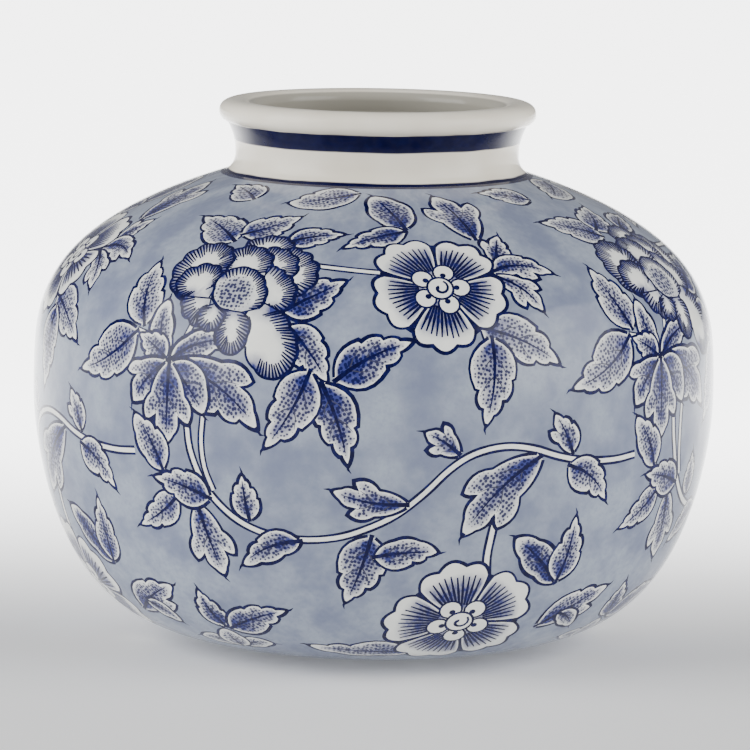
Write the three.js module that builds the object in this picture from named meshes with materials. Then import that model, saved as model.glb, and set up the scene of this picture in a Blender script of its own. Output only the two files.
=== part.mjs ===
// A squat porcelain vase, built as a potter builds a large jar: sections made one by one, each
// seated in a stepped joint on its neighbour and bonded there with slip before firing.
// Millimetres, +Z up, standing on z = 0 with its axis on the Z axis.

import * as THREE from 'three';

// Driving dimensions of the body.
const bellyRadius = 125;
const bowlDepth = 93; // from the belly down to where the bowl's curve closes on the axis
const bowlClearance = 0.4; // height of that lowest point of the curve above the table
const shoulderHeight = 78.3; // from the belly up to the foot of the neck
const bellyBlend = 30; // reach, above and below the belly, over which the two curves blend
const wall = 5;

// The neck and the rolled lip.
const neckWaistRadius = 51.9;
const neckRootFlare = 3.5; // how far the neck spreads out at its foot, beyond its waist
const neckTopFlare = 3; // how far it spreads out again below the lip
const neckHeight = 18.2;
const neckWaistRise = 7.8; // height of the waist above the neck's foot
const neckWall = 5.4; // at the waist
const lipOverhang = 3.1; // the lip's widest point beyond the top of the neck
const lipWidth = 12.5;
const lipHalfHeight = 4.1;

// The base: a floor disc, and a foot ring let into the underside.
const footOuterRadius = 50;
const footWidth = 8;
const footHeight = 3.5;
const footEdgeRound = 1;
const floorRecess = 2.5; // height of the floor disc's underside above the table
const floorThickness = 5.5;
const floorLap = 4; // width of the half-lap where the bowl sits on the floor disc

// The joints.
const slipGap = 0.3; // slip bond left between neighbouring sections
const seamStep = 5; // height of the step in the belly seam
const seamLanding = 1; // least rise from the step to the first bend of the shoulder's inner face
const spigotWall = 3.5; // thickness of the neck's spigot, inside the shoulder's opening
const spigotDepth = 4.5;
const tongueWidth = 3.5; // tongue on top of the neck, in a groove under the lip
const tongueHeight = 3;

// Exponents of the superellipse curves.
const bowlRadiusPower = 5;
const bowlHeightPower = 1.8;
const shoulderRadiusPower = 1.2;
const shoulderHeightPower = 3.25;
const neckRootPower = 3.2;
const neckTopPower = 1.9;
const lipPower = 2.3;

const turnSegments = 64;
const curveSteps = 10;
const lipSteps = 10;
const roundSteps = 2;

// Heights and radii that follow from the dimensions above.
const bellyHeight = bowlClearance + bowlDepth;
const neckFoot = bellyHeight + shoulderHeight;
const neckTop = neckFoot + neckHeight;
const neckRootRadius = neckWaistRadius + neckRootFlare;
const neckTopRadius = neckWaistRadius + neckTopFlare;
const neckBore = neckWaistRadius - neckWall;
const floorTop = floorRecess + floorThickness;
const footInnerRadius = footOuterRadius - footWidth;
const tongueOuter = (neckBore + neckTopRadius + tongueWidth) / 2;
const tongueInner = tongueOuter - tongueWidth;
const floorBevel = wall / 2; // width of the bevel where the wall's inner face meets the floor
const closingRatio = (1 - (neckRootRadius / bellyRadius) ** shoulderRadiusPower) ** (1 / shoulderHeightPower);
const shoulderRise = shoulderHeight / closingRatio; // where the shoulder's curve would close on the axis

function superellipseRadius(height, span, heightPower, radiusPower) {
  const share = Math.min(Math.abs(height) / span, 1);
  return bellyRadius * (1 - share ** heightPower) ** (1 / radiusPower);
}

// Outer radius of the body at a height, with the bowl's curve easing into the shoulder's.
function bodyRadius(z) {
  const height = z - bellyHeight;
  const bowl = superellipseRadius(height, bowlDepth, bowlHeightPower, bowlRadiusPower);
  const shoulder = superellipseRadius(height, shoulderRise, shoulderHeightPower, shoulderRadiusPower);
  const blend = THREE.MathUtils.smoothstep(height, -bellyBlend, bellyBlend);
  return THREE.MathUtils.lerp(bowl, shoulder, blend);
}

// Height of the bowl's curve at a radius, below the stretch where it blends.
function bowlHeightAt(radius) {
  const share = (1 - (radius / bellyRadius) ** bowlRadiusPower) ** (1 / bowlHeightPower);
  return bellyHeight - bowlDepth * share;
}

// Points of the body's outline from one height to another, evenly spaced in the turning angle of
// the superellipse, so that they crowd together where it bends.
function bodyOutline(span, heightPower, endHeight, sign) {
  const endAngle = Math.asin((Math.abs(endHeight - bellyHeight) / span) ** (heightPower / 2));
  const points = [];
  for (let step = 0; step <= curveSteps; step += 1) {
    const angle = (endAngle * step) / curveSteps;
    const z = bellyHeight + sign * span * Math.sin(angle) ** (2 / heightPower);
    points.push(new THREE.Vector2(bodyRadius(z), z));
  }
  return points;
}

// The wall's inner face, a wall thickness in from each point of the outline.
function insetOutline(points) {
  return points.map((point, index) => {
    const before = points[Math.max(index - 1, 0)];
    const after = points[Math.min(index + 1, points.length - 1)];
    const along = index === 0 ? new THREE.Vector2(0, after.y - before.y) : after.clone().sub(before);
    const inward = new THREE.Vector2(-Math.abs(along.y), 0);
    inward.y = point.y < bellyHeight ? Math.abs(along.x) : -Math.abs(along.x);
    return point.clone().add(inward.setLength(wall));
  });
}

function neckRadius(z) {
  const rise = z - neckFoot;
  if (rise < neckWaistRise) {
    return neckWaistRadius + neckRootFlare * (1 - rise / neckWaistRise) ** neckRootPower;
  }
  const share = (rise - neckWaistRise) / (neckHeight - neckWaistRise);
  return neckWaistRadius + neckTopFlare * share ** neckTopPower;
}

// A solid of revolution. Its outline of [radius, height] points runs up the outside and down the
// inside, and either closes on itself or starts and ends on the axis.
function turnedSection(name, outline, finish) {
  const points = outline.map((point) => (point.isVector2 ? point : new THREE.Vector2(...point)));
  const geometry = new THREE.LatheGeometry(points, turnSegments);
  geometry.rotateX(Math.PI / 2);
  const section = new THREE.Mesh(geometry, finish);
  section.name = name;
  return section;
}

const paintedGlaze = new THREE.MeshStandardMaterial({ color: 0xa9b3c9, roughness: 0.12, metalness: 0 });
const whiteGlaze = new THREE.MeshStandardMaterial({ color: 0xe3dfd8, roughness: 0.12, metalness: 0 });
const bareBiscuit = new THREE.MeshStandardMaterial({ color: 0xd8d0c2, roughness: 0.8, metalness: 0 });

// The bowl, from the half-lap on the floor disc up to the belly seam, where an inner step rises.
function lowerBowl() {
  const seatRadius = footOuterRadius + slipGap;
  const seatHeight = footHeight + slipGap;
  const lapHeight = (seatHeight + floorTop) / 2 + slipGap / 2;
  const lapOuter = footInnerRadius + floorLap + slipGap;
  const lapInner = footInnerRadius + slipGap;
  const outer = bodyOutline(bowlDepth, bowlHeightPower, bowlHeightAt(seatRadius), -1);
  const inner = insetOutline(outer).filter((point) => point.y > floorTop + floorBevel / 2);
  const stepOuter = bellyRadius - wall / 2 - slipGap / 2;
  const stepTop = bellyHeight + seamStep;
  const floorCorner = inner[inner.length - 1].x - floorBevel;
  const outline = [
    ...outer.slice().reverse(),
    [stepOuter, bellyHeight],
    [stepOuter, stepTop],
    [bodyRadius(stepTop) - wall, stepTop],
    ...inner,
    [floorCorner, floorTop],
    [lapInner, floorTop],
    [lapInner, lapHeight],
    [lapOuter, lapHeight],
    [lapOuter, seatHeight],
    [seatRadius, seatHeight],
    outer[outer.length - 1],
  ];
  return turnedSection('lower_bowl', outline, paintedGlaze);
}

// The shoulder, seated over the bowl's step and ending in a flat seat for the neck.
function upperShoulder() {
  const seamHeight = bellyHeight + slipGap;
  const stepTop = bellyHeight + seamStep + slipGap;
  const stepInner = bellyRadius - wall / 2 + slipGap / 2;
  const openingRadius = neckBore + spigotWall + slipGap;
  const outer = bodyOutline(shoulderRise, shoulderHeightPower, neckFoot, 1);
  const inner = insetOutline(outer).filter((point) => point.y > stepTop + seamLanding);
  const outline = [
    [bodyRadius(seamHeight), seamHeight],
    ...outer.slice(1),
    [openingRadius, neckFoot],
    [openingRadius, neckFoot - spigotDepth],
    ...inner.reverse(),
    [bodyRadius(stepTop) - wall, stepTop],
    [stepInner, stepTop],
    [stepInner, seamHeight],
    [bodyRadius(seamHeight), seamHeight],
  ];
  return turnedSection('upper_shoulder', outline, paintedGlaze);
}

// The neck, with a spigot in the shoulder's opening and a tongue that the lip sits over.
function neckCollar() {
  const foot = neckFoot + slipGap;
  const spigotRadius = neckBore + spigotWall;
  const outer = [];
  for (let step = 0; step <= curveSteps; step += 1) {
    const z = THREE.MathUtils.lerp(foot, neckTop, step / curveSteps);
    outer.push(new THREE.Vector2(neckRadius(z), z));
  }
  const outline = [
    ...outer,
    [tongueOuter, neckTop],
    [tongueOuter, neckTop + tongueHeight],
    [tongueInner, neckTop + tongueHeight],
    [tongueInner, neckTop],
    [neckBore, neckTop],
    [neckBore, neckFoot - spigotDepth],
    [spigotRadius, neckFoot - spigotDepth],
    [spigotRadius, foot],
    outer[0],
  ];
  return turnedSection('neck_collar', outline, whiteGlaze);
}

// The rolled lip: a superellipse from the top of the neck round to the mouth.
function lipRing() {
  const underside = neckTop + slipGap;
  const grooveOuter = tongueOuter + slipGap;
  const grooveInner = tongueInner - slipGap;
  const grooveTop = underside + tongueHeight;
  const centreRadius = neckTopRadius + lipOverhang - lipWidth / 2;
  const neckShare = (neckTopRadius - centreRadius) / (lipWidth / 2);
  const startAngle = -Math.asin((1 - neckShare ** lipPower) ** 0.5);
  const centreHeight = underside + lipHalfHeight * Math.abs(Math.sin(startAngle)) ** (2 / lipPower);
  const roll = [];
  for (let step = 0; step <= lipSteps; step += 1) {
    const angle = THREE.MathUtils.lerp(startAngle, Math.PI, step / lipSteps);
    const across = Math.sign(Math.cos(angle)) * Math.abs(Math.cos(angle)) ** (2 / lipPower);
    const up = Math.sign(Math.sin(angle)) * Math.abs(Math.sin(angle)) ** (2 / lipPower);
    roll.push([centreRadius + (lipWidth / 2) * across, centreHeight + lipHalfHeight * up]);
  }
  const outline = [
    ...roll,
    [neckBore, underside],
    [grooveInner, underside],
    [grooveInner, grooveTop],
    [grooveOuter, grooveTop],
    [grooveOuter, underside],
    roll[0],
  ];
  return turnedSection('lip_ring', outline, whiteGlaze);
}

// The foot ring, flat where it stands, with its lower edges rounded.
function footRing() {
  const outline = [[footOuterRadius, footHeight], [footInnerRadius, footHeight]];
  for (let step = 0; step <= roundSteps; step += 1) {
    const angle = (Math.PI / 2) * (step / roundSteps);
    const across = footEdgeRound * (1 - Math.cos(angle));
    outline.push([footInnerRadius + across, footEdgeRound * (1 - Math.sin(angle))]);
  }
  for (let step = 0; step <= roundSteps; step += 1) {
    const angle = (Math.PI / 2) * (step / roundSteps);
    const across = footEdgeRound * (1 - Math.sin(angle));
    outline.push([footOuterRadius - across, footEdgeRound * (1 - Math.cos(angle))]);
  }
  outline.push(outline[0]);
  return turnedSection('foot_ring', outline, bareBiscuit);
}

// The floor disc: its centre drops inside the foot ring, and its rim carries the bowl.
function baseFloor() {
  const rimUnderside = footHeight + slipGap;
  const rimTop = (rimUnderside + floorTop) / 2 - slipGap / 2;
  const outline = [
    [0, floorRecess],
    [footInnerRadius - slipGap, floorRecess],
    [footInnerRadius - slipGap, rimUnderside],
    [footInnerRadius + floorLap, rimUnderside],
    [footInnerRadius + floorLap, rimTop],
    [footInnerRadius, rimTop],
    [footInnerRadius, floorTop],
    [0, floorTop],
  ];
  return turnedSection('base_floor', outline, whiteGlaze);
}

const group = new THREE.Group();
group.add(lowerBowl(), upperShoulder(), neckCollar(), lipRing(), footRing(), baseFloor());

export default group;
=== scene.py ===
import math
import random

import bpy
import numpy as np
from mathutils import Matrix, Vector
from mathutils.geometry import delaunay_2d_cdt


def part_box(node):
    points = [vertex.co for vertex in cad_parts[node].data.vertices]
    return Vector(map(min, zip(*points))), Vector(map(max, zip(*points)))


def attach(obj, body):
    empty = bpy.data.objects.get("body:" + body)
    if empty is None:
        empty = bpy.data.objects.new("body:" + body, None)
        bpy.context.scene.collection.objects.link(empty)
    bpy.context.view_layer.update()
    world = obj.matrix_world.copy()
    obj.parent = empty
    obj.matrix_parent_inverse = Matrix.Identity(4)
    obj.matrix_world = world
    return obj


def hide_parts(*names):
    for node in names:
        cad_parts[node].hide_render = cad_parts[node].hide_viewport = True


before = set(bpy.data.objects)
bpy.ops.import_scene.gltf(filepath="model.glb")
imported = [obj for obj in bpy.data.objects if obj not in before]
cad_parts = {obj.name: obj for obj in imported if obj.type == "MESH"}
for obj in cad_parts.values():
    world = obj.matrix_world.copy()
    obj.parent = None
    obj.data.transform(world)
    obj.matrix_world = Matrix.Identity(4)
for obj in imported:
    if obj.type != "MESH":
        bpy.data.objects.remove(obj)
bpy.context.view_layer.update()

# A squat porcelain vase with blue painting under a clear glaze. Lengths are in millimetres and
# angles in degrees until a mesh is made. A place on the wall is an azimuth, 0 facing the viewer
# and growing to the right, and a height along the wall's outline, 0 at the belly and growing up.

MM = 0.001
QUARTER = 90.0  # one quarter of the wall is painted, and made four times
CELL_START = -45.0  # azimuth of that quarter's left edge


def low(node, axis):
    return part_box(node)[0][axis] / MM


def high(node, axis):
    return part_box(node)[1][axis] / MM


def ease(low_end, high_end, value):
    """Rises smoothly from 0 to 1 between the two ends."""
    share = np.clip((value - low_end) / (high_end - low_end), 0, 1)
    return share * share * (3 - 2 * share)


# ---- the outline of the body

# The frame gives the sizes that the boxes show. The others are the CAD source's own.
BELLY_RADIUS = high("lower_bowl", 0)
SLIP_GAP = 0.3
BELLY_HEIGHT = low("upper_shoulder", 2) - SLIP_GAP
NECK_FOOT = high("upper_shoulder", 2)
NECK_TOP = low("lip_ring", 2) - SLIP_GAP
TOP = high("lip_ring", 2)
FOOT_RADIUS = high("foot_ring", 0)
FOOT_HEIGHT = high("foot_ring", 2)
FLOOR_TOP = high("base_floor", 2)
FLOOR_UNDERSIDE = low("base_floor", 2)
STEP_TOP = high("lower_bowl", 2)
BOWL_CLEARANCE = 0.4
BOWL_DEPTH = BELLY_HEIGHT - BOWL_CLEARANCE
SHOULDER_HEIGHT = NECK_FOOT - BELLY_HEIGHT
BELLY_BLEND = 30.0
WALL = 5.0
FOOT_WIDTH = 8.0
FLOOR_LAP = 4.0
NECK_ROOT_RADIUS = 55.4
NECK_WAIST_RADIUS = 51.9
NECK_TOP_RADIUS = 54.9
NECK_WAIST_RISE = 7.8
NECK_BORE = 46.5
SPIGOT_WALL = 3.5
SPIGOT_DEPTH = 4.5
LIP_WIDTH = 12.5
LIP_OVERHANG = 3.1
# Powers of the height and of the radius in the two superellipses, and in the neck's two curves.
BOWL_UP, BOWL_OUT = 1.8, 5
SHOULDER_UP, SHOULDER_OUT = 3.25, 1.2
NECK_FOOT_POWER, NECK_FLARE_POWER, LIP_POWER = 3.2, 1.9, 2.3
CLOSING = (1 - (NECK_ROOT_RADIUS / BELLY_RADIUS) ** SHOULDER_OUT) ** (1 / SHOULDER_UP)
SHOULDER_RISE = SHOULDER_HEIGHT / CLOSING
OUTLINE_STEPS = 1500
TURN = 128  # segments of the plain turned faces


def superellipse(height, span, height_power, radius_power):
    """Radius at a height above or below the belly."""
    share = np.clip(np.abs(height) / span, 0, 1)
    return BELLY_RADIUS * (1 - share**height_power) ** (1 / radius_power)


def body_radius(z):
    """Outer radius at a height: the bowl's curve eases into the shoulder's at the belly."""
    height = np.asarray(z, float) - BELLY_HEIGHT
    bowl = superellipse(height, BOWL_DEPTH, BOWL_UP, BOWL_OUT)
    shoulder = superellipse(height, SHOULDER_RISE, SHOULDER_UP, SHOULDER_OUT)
    blend = ease(-BELLY_BLEND, BELLY_BLEND, height)
    return bowl * (1 - blend) + shoulder * blend


def outline_table():
    """The body's outline from the foot to the neck, as height along it, radius, z and normal."""
    steps = np.linspace(0, 1, OUTLINE_STEPS)
    up_end = math.asin(CLOSING ** (SHOULDER_UP / 2))
    up = BELLY_HEIGHT + SHOULDER_RISE * np.sin(up_end * steps) ** (2 / SHOULDER_UP)
    down_share = (1 - (FOOT_RADIUS / BELLY_RADIUS) ** BOWL_OUT) ** (1 / BOWL_UP)
    down_end = math.asin(down_share ** (BOWL_UP / 2))
    down = BELLY_HEIGHT - BOWL_DEPTH * np.sin(down_end * steps) ** (2 / BOWL_UP)
    z = np.concatenate([down[::-1][:-1], up])
    r = body_radius(z)
    along = np.concatenate([[0], np.cumsum(np.hypot(np.diff(r), np.diff(z)))])
    along -= np.interp(BELLY_HEIGHT, z, along)
    slope_r, slope_z = np.gradient(r, along), np.gradient(z, along)
    return along, r, z, slope_z, -slope_r


ALONG, RADIUS, HEIGHT, NORMAL_R, NORMAL_Z = outline_table()
FOOT_END, NECK_END = ALONG[0], ALONG[-1]


def radius_at(s):
    return np.interp(s, ALONG, RADIUS)


def on_wall(az, s):
    """Points of the outer face, in millimetres, and their normals."""
    turn = np.radians(az)
    r, z = radius_at(s), np.interp(s, ALONG, HEIGHT)
    out, up = np.interp(s, ALONG, NORMAL_R), np.interp(s, ALONG, NORMAL_Z)
    size = np.hypot(out, up)
    points = np.stack([r * np.sin(turn), -r * np.cos(turn), z], -1)
    normals = np.stack([out * np.sin(turn), -out * np.cos(turn), up], -1) / size[..., None]
    return points, normals


# ---- drawing on the wall

# Lengths on the wall are in millimetres.
INK, PALE_INK, FILL = 1.0, 0.95, 0.0  # strengths of the ink; FILL leaves the white bare
LINE_SPACING, SCALLOP_SPACING = 2.8, 1.3  # between the points of a curve
TINY = 1e-6
SHARPEST_MEAN = 0.9  # keeps a stroke from growing a spike at a corner
PETALS, LOBES, RAYS, CURLS = 5, 3, 10, 5  # of a blossom, of its petal, and round its middle
PETAL_STEP = 360 / PETALS
HATCH_SPACING, HATCH_REACH = 1.1, 1.3
HATCH_SPAN = 5  # points to each side that a hatch line is set square to
brush = random.Random(7)


def area(outline):
    """Signed area of a closed outline, positive when it runs anticlockwise."""
    x, y = outline.T
    return 0.5 * np.sum(x * np.roll(y, -1) - np.roll(x, -1) * y)


class Place:
    """A flat patch of the wall round one point: x is millimetres to the right, y up the wall."""

    def __init__(self, az, s):
        self.az, self.s = az, s

    def flat(self, points):
        az, s = np.asarray(points, float).T
        return np.stack([np.radians(az - self.az) * radius_at(s), s - self.s], -1)

    def wall(self, points):
        x, y = np.asarray(points, float).T
        s = np.clip(self.s + y, FOOT_END + 1, NECK_END - 1)
        return np.stack([self.az + np.degrees(x / radius_at(s)), s], -1)


class Shape:
    """One closed painted shape: its outline on the wall, its ink, and how its inside is washed."""

    def __init__(self, place, outline, ink, wash):
        self.place, self.ink, self.wash = place, ink, wash
        self.outline = place.wall(outline)


shapes = []


def paint(place, outline, ink, wash=None):
    shapes.append(Shape(place, outline, ink, wash))


def scallops(corners, bulges, steps=6):
    """A line through the corners, each stretch bowed to its left by a share of its length."""
    line = [corners[0]]
    for start, end, bulge in zip(corners[:-1], corners[1:], bulges):
        chord = end - start
        side = np.array([-chord[1], chord[0]])
        count = max(2, min(steps, round(np.hypot(*chord) / SCALLOP_SPACING)))
        for step in range(1, count + 1):
            share = step / count
            line.append(start + chord * share + side * (4 * bulge * share * (1 - share)))
    return np.array(line)


def smooth_line(points):
    """A Catmull-Rom curve through the points."""
    points = np.asarray(points, float)
    padded = np.vstack([2 * points[0] - points[1], points, 2 * points[-1] - points[-2]])
    line = [points[0]]
    for a, b, c, d in zip(padded[:-3], padded[1:-2], padded[2:-1], padded[3:]):
        count = max(1, round(np.hypot(*(c - b)) / LINE_SPACING))
        for step in range(1, count + 1):
            t = step / count
            line.append(0.5 * (2 * b + (c - a) * t + (2 * a - 5 * b + 4 * c - d) * t**2
                               + (3 * b - a - 3 * c + d) * t**3))
    return np.array(line)


def side_normals(line, closed=False):
    """A unit normal at each point, lengthened a little at corners to keep a stroke's width."""
    if closed:
        before, after = np.roll(line, 1, 0), np.roll(line, -1, 0)
    else:
        before = np.vstack([2 * line[0] - line[1], line[:-1]])
        after = np.vstack([line[1:], 2 * line[-1] - line[-2]])
    first, second = line - before, after - line
    first /= np.maximum(np.hypot(*first.T), TINY)[:, None]
    second /= np.maximum(np.hypot(*second.T), TINY)[:, None]
    mean = first + second
    size = np.maximum(np.hypot(*mean.T), SHARPEST_MEAN)
    return np.stack([-mean[:, 1], mean[:, 0]], -1) * (2 / size**2)[:, None]


def stroke(place, line, width, ink=INK, closed=False, shift=0.0):
    """A brush line of varying width; shift moves it sideways from the line that it follows."""
    normals = side_normals(line, closed)
    middle = line + normals * shift
    half = np.broadcast_to(np.asarray(width, float) / 2, (len(line),))[:, None]
    left, right = middle + normals * half, middle - normals * half
    count = len(line) if closed else len(line) - 1
    for i in range(count):
        j = (i + 1) % len(line)
        quad = np.array([left[i], right[i], right[j], left[j]])
        folded = area(quad[:3]) * area(quad[[0, 2, 3]]) <= 0
        for corners in ((0, 1, 2), (0, 2, 3)) if folded else ((0, 1, 2, 3),):
            paint(place, quad[list(corners)], ink)


def taper(count, start, end):
    return start + (end - start) * np.linspace(0, 1, count)


def distance_to(line, points):
    """Distance from each point to a polyline."""
    nearest = np.full(len(points), 1e9)
    for start, end in zip(line[:-1], line[1:]):
        chord = end - start
        share = np.clip((points - start) @ chord / max(chord @ chord, 1e-9), 0, 1)
        gap = points - start - share[:, None] * chord
        nearest = np.minimum(nearest, np.hypot(gap[:, 0], gap[:, 1]))
    return nearest


# Leaf margins from stalk to tip: share of the length, share of the half-width, and bulge.
NOTCHED = [(0.03, 0.16, 0), (0.60, 0.86, 0.24), (0.61, 0.70, 0), (0.80, 0.50, 0.16),
           (0.81, 0.34, 0), (1.0, 0.0, 0.08)]
TOOTHED = [(0.03, 0.16, 0), (0.46, 0.98, 0.20), (0.48, 0.84, 0), (0.70, 0.70, 0.14),
           (0.71, 0.52, 0), (0.86, 0.34, 0.12), (0.87, 0.24, 0), (1.0, 0.0, 0.06)]
ROUND = [(0.03, 0.14, 0), (0.34, 0.92, 0.14), (0.72, 0.78, 0.13), (1.0, 0.0, 0.12)]
LOBED = [(0.03, 0.18, 0), (0.40, 0.80, 0.08), (0.74, 1.0, 0.20), (0.66, 0.52, 0.14),
         (0.88, 0.34, 0.16), (1.0, 0.0, 0.06)]
WHITE_EDGE = (0.7, 2.2)  # millimetres from the edge over which the blue sets in
WHITE_TIP = (0.74, 0.97)  # shares of the length over which it ends
FORMS = {
    "notched": (NOTCHED, TOOTHED),
    "mirrored": (TOOTHED, NOTCHED),
    "round": (ROUND, NOTCHED),
    "plain": (ROUND, ROUND),
    "lobed": (LOBED, LOBED),
    "half_lobed": (LOBED, NOTCHED),
    "other_lobed": (NOTCHED, LOBED),
}


def leaf(base, tip, half_width, form, bend, shade):
    """A pointed leaf with toothed margins, a stippled blue inside and a white edge."""
    place = Place((base[0] + tip[0]) / 2, (base[1] + tip[1]) / 2)
    start, end = place.flat([base, tip])
    length = np.hypot(*(end - start))
    axis = (end - start) / length
    across = np.array([-axis[1], axis[0]])

    def at(t, w):
        return start + axis * (t * length) + across * (w + 4 * bend * t * (1 - t) * length)

    sides = []
    for sign, margin in zip((1, -1), FORMS[form]):
        corners = np.array([at(t, sign * w * half_width) for t, w, _ in margin])
        bulges = [sign * bulge for _, _, bulge in margin[1:]]
        sides.append(scallops(corners, bulges))
    outline = np.vstack([sides[1], sides[0][::-1][1:]])
    seed = brush.uniform(0, 50)
    rim = np.vstack([sides[0], sides[1][::-1]])

    def wash(points):
        rel = points - start
        t = rel @ axis / length
        w = (rel @ across - 4 * bend * t * (1 - t) * length) / half_width
        edge = distance_to(rim, points)
        body = ease(*WHITE_EDGE, edge) * (1 - ease(*WHITE_TIP, t))
        root = 1 - ease(0.05, 0.55, t)
        spine = np.exp(-((w / 0.35) ** 2))
        blue = body * (0.42 + 0.36 * root + 0.22 * spine) * (0.7 + 0.8 * shade)
        dots = body * (0.74 + 0.3 * shade)
        return blue, dots, np.stack([t * length, w * half_width + seed, np.full(len(t), seed)], -1)

    paint(place, outline, FILL, wash)
    for t in (0.22, 0.44):
        for sign in (1, -1):
            reach = half_width * 0.55
            vein = np.array([at(t, 0), at(t + 0.09, sign * reach * 0.6), at(t + 0.2, sign * reach)])
            stroke(place, vein, (0.6, 0.4, 0.15), PALE_INK)
    rib = smooth_line([at(t, 0) for t in (0.0, 0.3, 0.6, 0.84)])
    stroke(place, rib, taper(len(rib), 1.3 + 0.6 * shade, 0.25))
    for side in sides:
        swell = 1 + 0.22 * np.sin(np.linspace(0, 3, len(side)) * math.pi + seed)
        stroke(place, side, (0.95 + 0.35 * shade) * swell)
    spike = smooth_line([at(0.96, 0), at(1.03, -0.02 * half_width), at(1.0 + 2.6 / length, 0.1 * half_width)])
    stroke(place, spike, taper(len(spike), 1.5, 0.15))


def stem(points, width=1.6, line=0.9):
    """A pale stalk between two dark lines."""
    place = Place(*np.mean(points, axis=0))
    path = smooth_line(place.flat(points))
    stroke(place, path, width, FILL)
    for sign in (1, -1):
        wobble = line * (1 + 0.15 * np.sin(np.arange(len(path)) * 0.7 + sign))
        stroke(place, path, wobble, shift=sign * (width + line) / 2)


def polar(radius, angle):
    turn = math.radians(angle)
    return np.array([radius * math.cos(turn), radius * math.sin(turn)])


def disc(radius, step, middle=(0, 0)):
    return np.array([middle + polar(radius, angle) for angle in range(0, 360, step)])


def petal_of_blossom(place, middle, reach):
    """One petal with a lobed white edge and dark rays on a blue wash."""
    half_angle = PETAL_STEP * 0.47
    seed = brush.uniform(0, 50)
    corners = [polar(reach * 0.2, middle - half_angle * 0.8)]
    corners += [polar(reach * 0.80, middle - half_angle)]
    for lobe in range(1, LOBES):
        share = lobe / LOBES
        corners.append(polar(reach * 0.91, middle - half_angle + 2 * half_angle * share))
    corners += [polar(reach * 0.80, middle + half_angle), polar(reach * 0.2, middle + half_angle * 0.8)]
    bulges = [-0.05] + [-0.30] * LOBES + [-0.05]
    outline = scallops(np.array(corners), bulges, 8)

    def wash(points):
        r = np.hypot(*points.T) / reach
        edge = distance_to(outline, points)
        blue = 0.88 * (1 - ease(0.62, 0.84, r)) * ease(0.3, 2.0, edge)
        return blue, np.zeros(len(r)), np.stack([r, r, np.full(len(r), seed)], -1)

    paint(place, outline, FILL, wash)
    for ray in range(RAYS):
        angle = middle + half_angle * 0.88 * (2 * (ray + 0.5) / RAYS - 1)
        fan = math.cos(2.2 * (ray + 0.5 - RAYS / 2) / RAYS)
        end = reach * (0.68 + 0.10 * fan + brush.uniform(-0.03, 0.03))
        line = np.array([polar(reach * 0.3 + (end - reach * 0.3) * t, angle) for t in (0, 0.5, 1)])
        stroke(place, line, (0.8, 1.05, 0.55))
    swell = 1 + 0.25 * np.sin(np.linspace(0, 5, len(outline)) + seed)
    stroke(place, outline, 1.15 * swell)


def blossom(centre, reach, turn):
    """A five-petalled flower round a ring of white curls and a spiral."""
    place = Place(*centre)
    paint(place, disc(reach * 0.84, 12), INK)
    for petal in range(PETALS):
        petal_of_blossom(place, turn + petal * PETAL_STEP, reach * brush.uniform(0.97, 1.03))
    for curl in range(CURLS):
        angle = turn + 20 + curl * 360 / CURLS
        middle = polar(reach * 0.28, angle)
        ring = disc(reach * 0.148, 24, middle)
        paint(place, ring, FILL)
        stroke(place, ring, 0.8, closed=True)
        paint(place, disc(reach * 0.044, 45, middle - polar(reach * 0.05, angle)), INK)
    for size, kind in ((0.20, INK), (0.165, FILL)):
        paint(place, disc(reach * size, 18), kind)
    spiral = np.array([polar(reach * (0.02 + 0.11 * t), turn + 300 * t) for t in np.linspace(0, 1, 12)])
    stroke(place, spiral, taper(12, 1.4, 0.8))


def frilled_petal(place, edge, root, hatch=3.2, bulge=0.22, bare=0, inside=None):
    """A peony petal: a frilled edge with close hatching that fades into the white inside.

    The first bare stretches of the edge have no hatching.
    """
    corners = place.flat(edge)
    inner = place.flat([root])[0]
    if area(np.vstack([corners, inner[None]])) > 0:
        bulge = -bulge
    plain = scallops(corners[:bare + 1], [bulge] * bare, 7)
    hatched = scallops(corners[bare:], [bulge] * (len(corners) - 1 - bare), 7)
    rim = np.vstack([plain[:-1], hatched])
    outline = np.vstack([rim, inner[None]])
    seed = brush.uniform(0, 50)

    def wash(points):
        gap = distance_to(hatched, points)
        depth = np.hypot(*(points - inner).T) / np.hypot(*(corners.mean(axis=0) - inner))
        blue = 0.95 * (1 - ease(0.3, hatch * 1.7, gap)) + 0.4 * (1 - ease(0.15, 0.55, depth))
        dots = np.zeros(len(gap))
        if inside:
            heart = np.hypot(*(points - place.flat([inside])[0]).T)
            blue = np.maximum(blue * 0.9, 0.6 * (1 - ease(4.0, 9.5, heart)))
            dots = 1 - ease(5.0, 9.0, heart)
        return blue, dots, np.stack([points[:, 0], points[:, 1] + seed, np.full(len(gap), seed)], -1)

    paint(place, outline, FILL, wash)
    travelled = 0.0
    for i in range(1, len(hatched)):
        travelled += np.hypot(*(hatched[i] - hatched[i - 1]))
        if travelled < HATCH_SPACING:
            continue
        travelled = 0.0
        chord = hatched[min(i + HATCH_SPAN, len(hatched) - 1)] - hatched[max(i - HATCH_SPAN, 0)]
        square = np.array([-chord[1], chord[0]]) / np.hypot(*chord)
        inward = (inner - hatched[i]) / np.hypot(*(inner - hatched[i]))
        inward += square * 1.5 * np.sign(square @ inward)
        inward /= np.hypot(*inward)
        reach = HATCH_REACH * hatch * brush.uniform(0.85, 1.15)
        stroke(place, np.array([hatched[i], hatched[i] + inward * reach]), (0.95, 0.5))
    stroke(place, np.array([rim[0], inner, rim[-1]]), 0.6)
    swell = 1 + 0.2 * np.sin(np.linspace(0, 7, len(rim)) + seed)
    stroke(place, rim, 1.05 * swell)


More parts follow.
